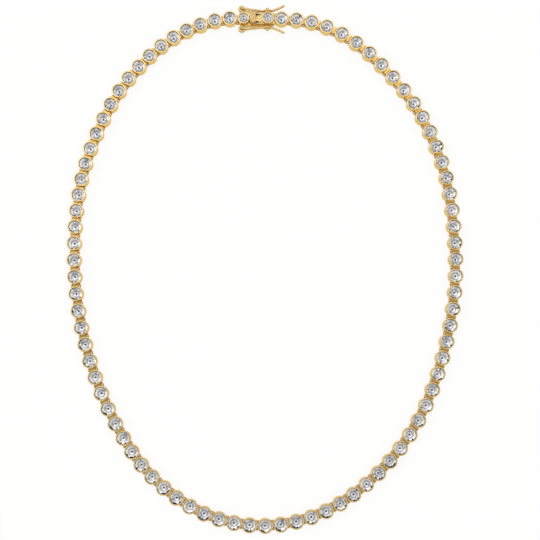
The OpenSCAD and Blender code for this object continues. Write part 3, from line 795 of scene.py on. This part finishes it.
knuckleLow = t["knuckleMiddle"] - t["knuckleHalf"]
knuckleHigh = t["knuckleMiddle"] + t["knuckleHalf"]
knuckle = softened(np.array([(t["knuckleBore"], knuckleLow, 0.05), (t["knuckleOuter"], knuckleLow, 0.14),
                             (t["knuckleOuter"], knuckleHigh, 0.34),
                             (t["knuckleBore"], knuckleHigh, 0.2)]), 6)
knucklePoints, knuckleFaces = lathe(knuckle, t["knuckleSides"])
# painted shade: the knuckle ring is painted darker towards its bore, round the pin
knuckleShade = np.clip((0.6 - knuckle[:, 0]) / 0.15, 0, 1)
armOutline, armNormals = roundedOutline(0.6, 0.35, 0.12, 4)
arm = moulding(armOutline, armNormals, edged(1.6, 2.5, 0.05))
# a shoulder in plan: its straight sides, then back along the wall of the round setting
bend = np.linspace(math.pi / 2, 0, 12)
shoulder = np.vstack([[(t["shoulderEnd"], 0), (t["shoulderEnd"], t["shoulderWide"] - 0.15),
                       (t["shoulderEnd"] - 0.05, t["shoulderWide"] - 0.05),
                       (t["shoulderEnd"] - 0.15, t["shoulderWide"]), (0, t["shoulderWide"])],
                      1.8 * np.stack([np.cos(bend), np.sin(bend)], 1)])
leafShapes = [onClasp((points, faces)), onClasp((crossV(leaf[0]), *leaf[1:]))]
knuckleShapes = []
for way in (-1, 1):
    plan = (shoulder * [1, way])[::way]
    leafShapes.append(onClasp(moulding(plan, mitred(plan), edged(0.35, knuckleHigh - 0.15, 0.05))))
    knuckleShapes.append(onClasp((knucklePoints + [-t["knuckleBack"], way * t["knuckleOut"], 0],
                                  knuckleFaces)))
for way in (-1, 1):
    knuckleShapes.append(onClasp((alongV(arm[0][:, [1, 0, 2]] * [-1, 1, 1], -t["knuckleBack"],
                                         t["knuckleMiddle"], way), *arm[1:])))
counts = [len(shape[0]) for shape in leafShapes]
# painted shade: the tongue's setting keeps its profile's painted shade and the shoulders are painted
# browner
leafShade = np.concatenate([np.repeat(tongueCollet[:, 2], sides), np.zeros(counts[1]),
                            np.full(sum(counts[2:]), t["shoulderShade"])])
makePiece("clasp_tongue_body", leafShapes, polishedGold, "necklace", ("clasp_tongue",),
          values={"shade": ("POINT", leafShade)})
ringShade = np.tile(np.repeat(knuckleShade, t["knuckleSides"]), 2)
# painted shade: the arms are painted as brown as the shoulders
armShade = np.full(2 * len(arm[0]), t["shoulderShade"])
makePiece("clasp_knuckles", knuckleShapes, satinGold, "necklace", ("clasp_tongue",),
          values={"shade": ("POINT", np.concatenate([ringShade, armShade]))})
makePiece("thumb_tab", [onClasp((tab[0] + [tabMiddle, 0, 0], *tab[1:]))], satinGold, "necklace",
          ("clasp_tongue",))
makePiece("thumb_tab_ridges", [onClasp(ridgePatch())], satinGold, "necklace", ("clasp_tongue",))
print("clasp made")


# Safety catches

catchSet = {"wire": 0.58, "high": 2.0, "waist": 0.32, "back": 0.5, "out": 3.2, "side": 2.675,
            "stud": 7.45, "tail": 4.9, "flare": 1.52, "middle": 1.355, "pin": 0.305,
            "pinHalf": 0.6425, "steps": 10, "around": 14}
# each row: place along (0 knuckle, 1 stud, 2 tip), share of the way out to the knuckle,
# share of the tail's flare, share of the full opening
catchRows = np.array([
    (0.0, 1.0, 0.0, 1.0), (0.15, 0.85, 0.0, 1.0), (0.33, 0.4, 0.0, 0.9), (0.55, 0.08, 0.0, 0.6),
    (0.8, 0.0, 0.0, 0.0), (1.0, 0.0, 0.0, 1.0), (1.28, 0.0, 0.04, 0.0), (1.6, 0.0, 0.4, 0.0),
    (2.0, 0.0, 1.0, 0.0)])


def catchWire():
    # upper strand: a Catmull-Rom curve through the rows, then the same below in reverse
    c = catchSet
    last = len(catchRows) - 1
    i = np.arange(last)
    a, b, d, e = (catchRows[np.clip(i + k, 0, last)][:, None] for k in (-1, 0, 1, 2))
    s = (np.arange(c["steps"]) / c["steps"])[None, :, None]
    rows = 0.5 * (2 * b + (d - a) * s + (2 * a - 5 * b + 4 * d - e) * s ** 2
                  + (3 * b - a - 3 * d + e) * s ** 3)
    rows = np.vstack([rows.reshape(-1, 4), catchRows[-1:]])
    u = np.where(rows[:, 0] <= 1, -c["back"] + rows[:, 0] * (c["stud"] + c["back"]),
                 c["stud"] + (rows[:, 0] - 1) * c["tail"])
    v = c["side"] + (c["out"] - c["side"]) * rows[:, 1] + c["flare"] * rows[:, 2]
    z = c["waist"] + (c["high"] / 2 - c["waist"]) * rows[:, 3]
    strand = np.stack([u, v, z], 1)
    aim = unit((strand[-1] - strand[-2]) * [1, 1, 0])
    tipEnd = strand[-1] + aim * c["wire"] / 2 * np.array([1, 1, 0])
    tipEnd[2] = c["waist"] / 2
    tipMid = (strand[-1] + tipEnd) / 2 + aim * 0.05 + [0, 0, 0.04]
    corner = c["high"] / 2 - c["pinHalf"]
    foot = np.array([[-c["back"], c["out"], 0], [-c["back"], c["out"], c["pinHalf"]],
                     [-c["back"] + corner * 0.12, c["out"], c["pinHalf"] + corner * 0.45],
                     [-c["back"] + corner * 0.45, c["out"], c["pinHalf"] + corner * 0.85]])
    upper = np.vstack([foot, strand[2:], tipMid[None], tipEnd[None]])
    lower = upper[:0:-1] * [1, 1, -1]
    path = np.vstack([upper, lower])
    flat = np.gradient(upper[:, :2], axis=0)
    flat[:4] = flat[4]
    sideways = np.stack([-flat[:, 1], flat[:, 0], 0 * flat[:, 0]], 1)
    sideways = unit(sideways)
    return path, np.vstack([sideways, sideways[:0:-1]])


wirePath, wireSide = catchWire()
for nodeName, body, way in (("safety_catch_outer", "outer_catch", 1),
                            ("safety_catch_inner", "inner_catch", -1)):
    points, faces = tube(wirePath, wireSide, catchSet["wire"] / 2, catchSet["around"])
    pinR, pinEnd = catchSet["pin"], catchSet["pinHalf"]
    pin = spun(np.array([(pinR - 0.04, -pinEnd), (pinR, 0.04 - pinEnd), (pinR, pinEnd - 0.04),
                         (pinR - 0.04, pinEnd)]), 24)
    pinPoints = pin[0] + [-catchSet["back"], catchSet["out"], 0]
    flip = np.array([1, way, 1])
    shapes = [(points * flip + [0, 0, catchSet["middle"]], faces[:, ::way]),
              (pinPoints * flip + [0, 0, catchSet["middle"]], pin[1][:, ::way],
               [ringEnd[::way] for ringEnd in pin[2]])]
    makePiece(nodeName.replace("safety_catch", "catch_wire"), [onClasp(shape) for shape in shapes],
              polishedGold, body, (nodeName,))
print("safety catches made")
